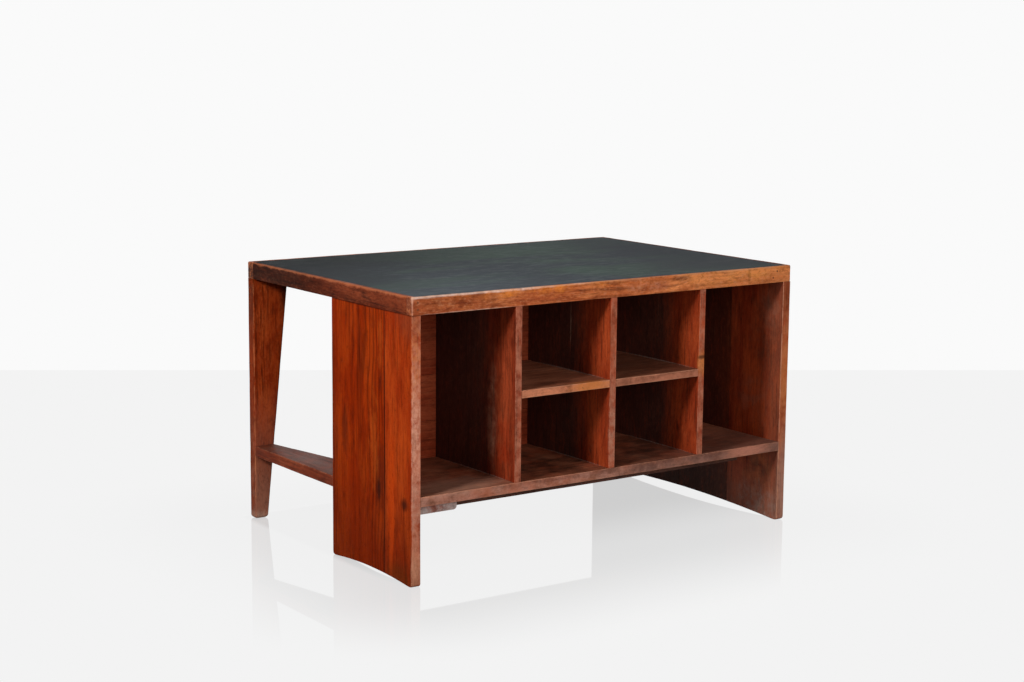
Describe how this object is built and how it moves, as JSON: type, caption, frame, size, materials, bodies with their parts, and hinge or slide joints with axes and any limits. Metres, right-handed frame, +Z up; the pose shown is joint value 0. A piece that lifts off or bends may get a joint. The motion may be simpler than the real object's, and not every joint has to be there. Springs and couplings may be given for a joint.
{
  "type": "pigeonhole desk",
  "caption": "Wooden writing desk with a leather top, open pigeonholes along the front, panel ends, a tapered rear leg tied to the case by a low stretcher, and an open knee space behind.",
  "frame": {"origin": "on the floor, under the middle of the desk's overall box", "axes": "+X along the long side, from the leg's end to the full end panel; the pigeonholes face -Y and the knee space opens to +Y; +Z up"},
  "size_m": [1.22, 0.83, 0.711],
  "materials": {
    "teak": "worn oiled teak",
    "leather": "worn satin",
    "filler": "dark wood plugs"
  },
  "bodies": {
    "root": {"back_board_1": "teak", "back_board_2": "teak", "back_board_3": "teak", "back_board_4": "teak", "bottom_shelf_front_board": "teak", "bottom_shelf_rear_board": "teak", "divider_left_front_board": "teak", "divider_left_rear_board": "teak", "divider_middle_front_board": "teak", "divider_middle_rear_board": "teak", "divider_right_front_board": "teak", "divider_right_rear_board": "teak", "front_rail": "teak", "front_rail_plugs": "filler", "half_shelf_left_front_board": "teak", "half_shelf_left_rear_board": "teak", "half_shelf_right_front_board": "teak", "half_shelf_right_rear_board": "teak", "leather_top": "leather", "left_leg": "teak", "left_panel_front_board": "teak", "left_panel_rear_board": "teak", "left_rail": "teak", "left_stretcher": "teak", "rear_rail": "teak", "right_panel_board_1": "teak", "right_panel_board_2": "teak", "right_panel_board_3": "teak", "right_panel_board_4": "teak", "right_rail": "teak", "shelf_batten": "teak", "top_board_1": "teak", "top_board_2": "teak", "top_board_3": "teak", "top_board_4": "teak", "top_board_5": "teak"}
  },
  "joints": []
}
